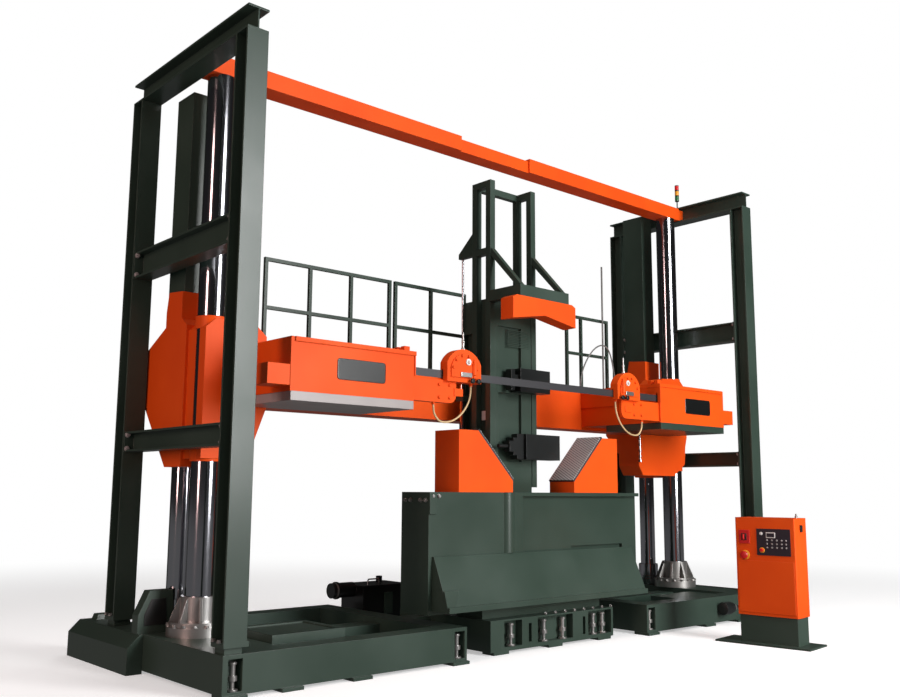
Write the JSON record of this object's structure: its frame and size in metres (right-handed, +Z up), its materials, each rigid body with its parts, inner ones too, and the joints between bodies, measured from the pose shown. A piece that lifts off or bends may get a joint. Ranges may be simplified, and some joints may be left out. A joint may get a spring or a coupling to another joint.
{
  "type": "horizontal band saw",
  "caption": "Column-guided horizontal band saw for very wide blocks: saw head on chrome columns in end frames, slanted jaws, hold-down clamp and control console.",
  "frame": {"origin": "on the floor, midway between the two front guide columns", "axes": "+X runs from the left end frame to the right one, +Y to the rear, +Z up; -Y is the operator's side"},
  "size_m": [8.41, 4.6967, 6.289],
  "materials": {
    "green_paint": "dark grey-green gloss",
    "orange_paint": "orange gloss",
    "hard_chrome": "ground and hard chromed",
    "bright_steel": "machined",
    "black_paint": "black satin",
    "navy_paint": "dark blue satin",
    "hose_rubber": "cream hose cover",
    "light_grey_paint": "light grey satin"
  },
  "bodies": {
    "frame": {"left_base": "green_paint", "right_base": "green_paint", "machine_bed": "green_paint", "left_side_cover": "green_paint", "right_side_cover": "green_paint", "left_front_post": "green_paint", "right_front_post": "green_paint", "left_rear_post": "green_paint", "right_rear_post": "green_paint", "left_top_beam": "green_paint", "right_top_beam": "green_paint", "left_frame_rails": "green_paint", "right_frame_rails": "green_paint", "tie_beam": "orange_paint", "left_guide_column": "hard_chrome", "right_guide_column": "hard_chrome", "left_column_collar": "bright_steel", "right_column_collar": "bright_steel", "left_lift_rod": "hard_chrome", "right_lift_rod": "hard_chrome", "jaw_bed": "green_paint", "chip_trough": "green_paint", "left_jaw": "orange_paint", "right_jaw": "orange_paint", "left_jaw_plate": "bright_steel", "right_jaw_plate": "bright_steel", "tower": "green_paint", "clamp_cylinder": "hard_chrome", "lower_press": "black_paint", "upper_press": "black_paint", "signal_lamp": "light_grey_paint", "hydraulic_unit": "black_paint", "console_stand": "green_paint", "console_cabinet": "orange_paint", "console_panel": "navy_paint"},
    "clamp": {"clamp_masts": "green_paint", "clamp_platform": "green_paint", "clamp_head": "orange_paint", "clamp_rod": "hard_chrome"},
    "saw_head": {"main_beam": "orange_paint", "left_carriage": "orange_paint", "right_carriage": "orange_paint", "left_cylinder_casing": "green_paint", "right_cylinder_casing": "green_paint", "left_wheel_cover": "orange_paint", "right_wheel_cover": "orange_paint", "left_cover_skirt": "light_grey_paint", "right_cover_skirt": "green_paint", "left_band_wheel": "bright_steel", "right_band_wheel": "bright_steel", "saw_blade": "bright_steel", "cable_pole": "light_grey_paint", "guardrails": "green_paint", "beam_hose": "hose_rubber"},
    "left_arm": {"left_guide_arm": "orange_paint", "left_arm_hose": "hose_rubber"},
    "right_arm": {"right_guide_arm": "orange_paint", "right_arm_hose": "hose_rubber"}
  },
  "joints": [
    {"name": "head_lift", "type": "slide", "parent": "frame", "child": "saw_head", "axis": [0, 0, 1], "range_m": [-1, 0.35]},
    {"name": "left_arm_slide", "type": "slide", "parent": "saw_head", "child": "left_arm", "axis": [1, 0, 0], "range_m": [-0.28, 0.5]},
    {"name": "right_arm_slide", "type": "slide", "parent": "saw_head", "child": "right_arm", "axis": [-1, 0, 0], "range_m": [-0.28, 0.5]},
    {"name": "clamp_lift", "type": "slide", "parent": "frame", "child": "clamp", "axis": [0, 0, 1], "range_m": [-0.7, 0]}
  ]
}
